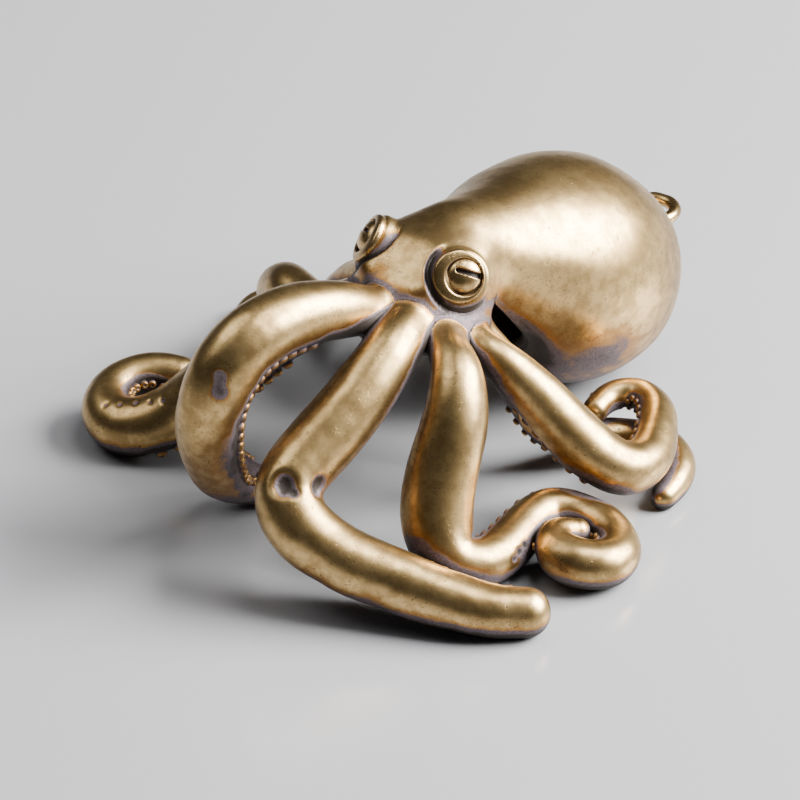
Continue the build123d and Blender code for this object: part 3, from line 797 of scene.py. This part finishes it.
def loopSkin():
    # ring of round strand lying level, thicker where it grows out of the mantle
    turn = np.linspace(0, 2 * np.pi, loop["around"], endpoint=False)[:, None]
    section = np.linspace(0, 2 * np.pi, loop["section"], endpoint=False)
    strand = loop["strand"] * (1 + loop["flare"] * ease(-np.sin(turn), 0.2, 1.0))
    wide = loop["radius"] + strand * np.cos(section)
    grid = np.stack([wide * np.cos(turn), wide * np.sin(turn), strand * np.sin(section)], -1)
    grid = grid + np.array([0.0, mantleBack + loop["standOff"], loop["height"]])
    out = unit(grid - grid.mean(1, keepdims=True))
    return grid + loop["lump"] * wobble(grid, loop["lumpWave"], 21)[..., None] * out


grid = loopSkin()
# darker on the side of the loop towards the mantle: dirt and painted shade at the joint
mesh = ringMesh("loop_ring", grid, {"crease": loop["dirtAndShade"] * ease(-grid[..., 1], *loop["dirtAndShadeRange"])})
addPiece("loop_ring", mesh, "hanging_loop", "bright_brass")
print("stage: eyes and loop")

# Camera at the photograph's angle
camera = {"azimuth": 39.1, "elevation": 33.0, "distance": 450.0, "lens": 243.0, "target": (-7.22, 7.44, 0.0)}
azimuth, elevation = math.radians(camera["azimuth"]), math.radians(camera["elevation"])
level = math.cos(elevation)
back = np.array([math.sin(azimuth) * level, -math.cos(azimuth) * level, math.sin(elevation)])
target = np.array(camera["target"]) * millimetre + zero
lens = bpy.data.cameras.new("photoCamera")
lens.lens, lens.sensor_width = camera["lens"], 36.0
lens.clip_start = 0.01
view = bpy.data.objects.new("photoCamera", lens)
view.location = Vector(target + back * camera["distance"] * millimetre)
view.rotation_euler = Vector(back).to_track_quat("Z", "Y").to_euler()
bpy.context.scene.collection.objects.link(view)
bpy.context.scene.camera = view

# Pale floor and soft light
floorMesh = bpy.data.meshes.new("floor")
floorMesh.from_pydata([(-0.6, -0.6, 0), (0.6, -0.6, 0), (0.6, 0.6, 0), (-0.6, 0.6, 0)], [], [(0, 1, 2, 3)])
floor = bpy.data.objects.new("floor", floorMesh)
bpy.context.scene.collection.objects.link(floor)
floorFinish = bpy.data.materials.new("paleFloor")
floorFinish.use_nodes = True
floorShader = floorFinish.node_tree.nodes["Principled BSDF"]
floorShader.inputs["Base Color"].default_value = (0.31, 0.31, 0.32, 1)
floorShader.inputs["Roughness"].default_value = 0.22
floorMesh.materials.append(floorFinish)

lights = {
    "key": {"turn": 132.0, "rise": 37.0, "far": 0.42, "size": 0.28, "power": 13.0},
    "top": {"turn": 130.0, "rise": 74.0, "far": 0.45, "size": 0.20, "power": 1.2},
    "fill": {"turn": -65.0, "rise": 58.0, "far": 0.50, "size": 0.30, "power": 0.9},
}
for name, light in lights.items():
    lamp = bpy.data.lights.new(name, "AREA")
    lamp.energy, lamp.size = light["power"], light["size"]
    turn, rise = math.radians(light["turn"]), math.radians(light["rise"])
    way = Vector((math.sin(turn) * math.cos(rise), -math.cos(turn) * math.cos(rise), math.sin(rise)))
    shine = bpy.data.objects.new(name, lamp)
    shine.location = way * light["far"]
    shine.rotation_euler = way.to_track_quat("Z", "Y").to_euler()
    bpy.context.scene.collection.objects.link(shine)
world = bpy.data.worlds.new("studio")
world.use_nodes = True
world.node_tree.nodes["Background"].inputs["Color"].default_value = (0.10, 0.10, 0.11, 1)
world.node_tree.nodes["Background"].inputs["Strength"].default_value = 0.4
bpy.context.scene.world = world
print("stage: camera, floor and light")
